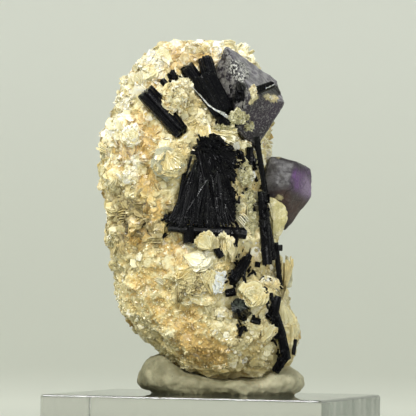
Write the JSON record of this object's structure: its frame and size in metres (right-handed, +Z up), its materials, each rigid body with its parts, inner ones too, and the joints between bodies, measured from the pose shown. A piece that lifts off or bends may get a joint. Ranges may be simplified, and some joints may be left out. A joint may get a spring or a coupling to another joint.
{
  "type": "fluorite with schorl mineral specimen",
  "caption": "Mineral specimen of purple fluorite and black schorl crystals on a pale mica and feldspar stone, set in putty on a clear block.",
  "frame": {"origin": "middle of the display block's underside", "axes": "+Z up and the longest extent, -Y towards the specimen's front, +X to the specimen's right seen from the front"},
  "size_m": [0.0906, 0.0906, 0.1145],
  "materials": {
    "matrix": "rough, pale cream mica flakes and feldspar with rust stains",
    "schorl": "glossy black, striated along the prisms",
    "fluorite": "translucent grey purple, worn and etched faces",
    "mica": "pearly yellow grey sheets",
    "putty": "matt grey beige putty with small dents",
    "acrylic": "clear polished acrylic"
  },
  "bodies": {
    "root": {"fluorite_upper": "fluorite", "fluorite_lower": "fluorite", "schorl_in_fluorite": "schorl", "schorl_left_prism": "schorl", "schorl_top_cluster": "schorl", "schorl_sheaf": "schorl", "schorl_right_rods": "schorl", "schorl_side_rod": "schorl", "schorl_lower_band": "schorl", "schorl_end_on": "schorl", "schorl_recess": "schorl", "schorl_small_01": "schorl", "schorl_small_02": "schorl", "schorl_small_03": "schorl", "schorl_small_04": "schorl", "schorl_small_05": "schorl", "schorl_small_06": "schorl", "schorl_small_07": "schorl", "schorl_small_08": "schorl", "schorl_small_09": "schorl", "schorl_small_10": "schorl", "schorl_small_11": "schorl", "schorl_small_12": "schorl", "mica_leaf_right": "mica", "mica_book_right": "mica", "mica_book_round": "mica", "mica_fan_left": "mica", "mica_fan_right": "mica", "mica_rosette_left": "mica", "mica_blade_white": "mica", "matrix": "matrix", "putty_pad": "putty", "display_block": "acrylic"}
  },
  "joints": []
}
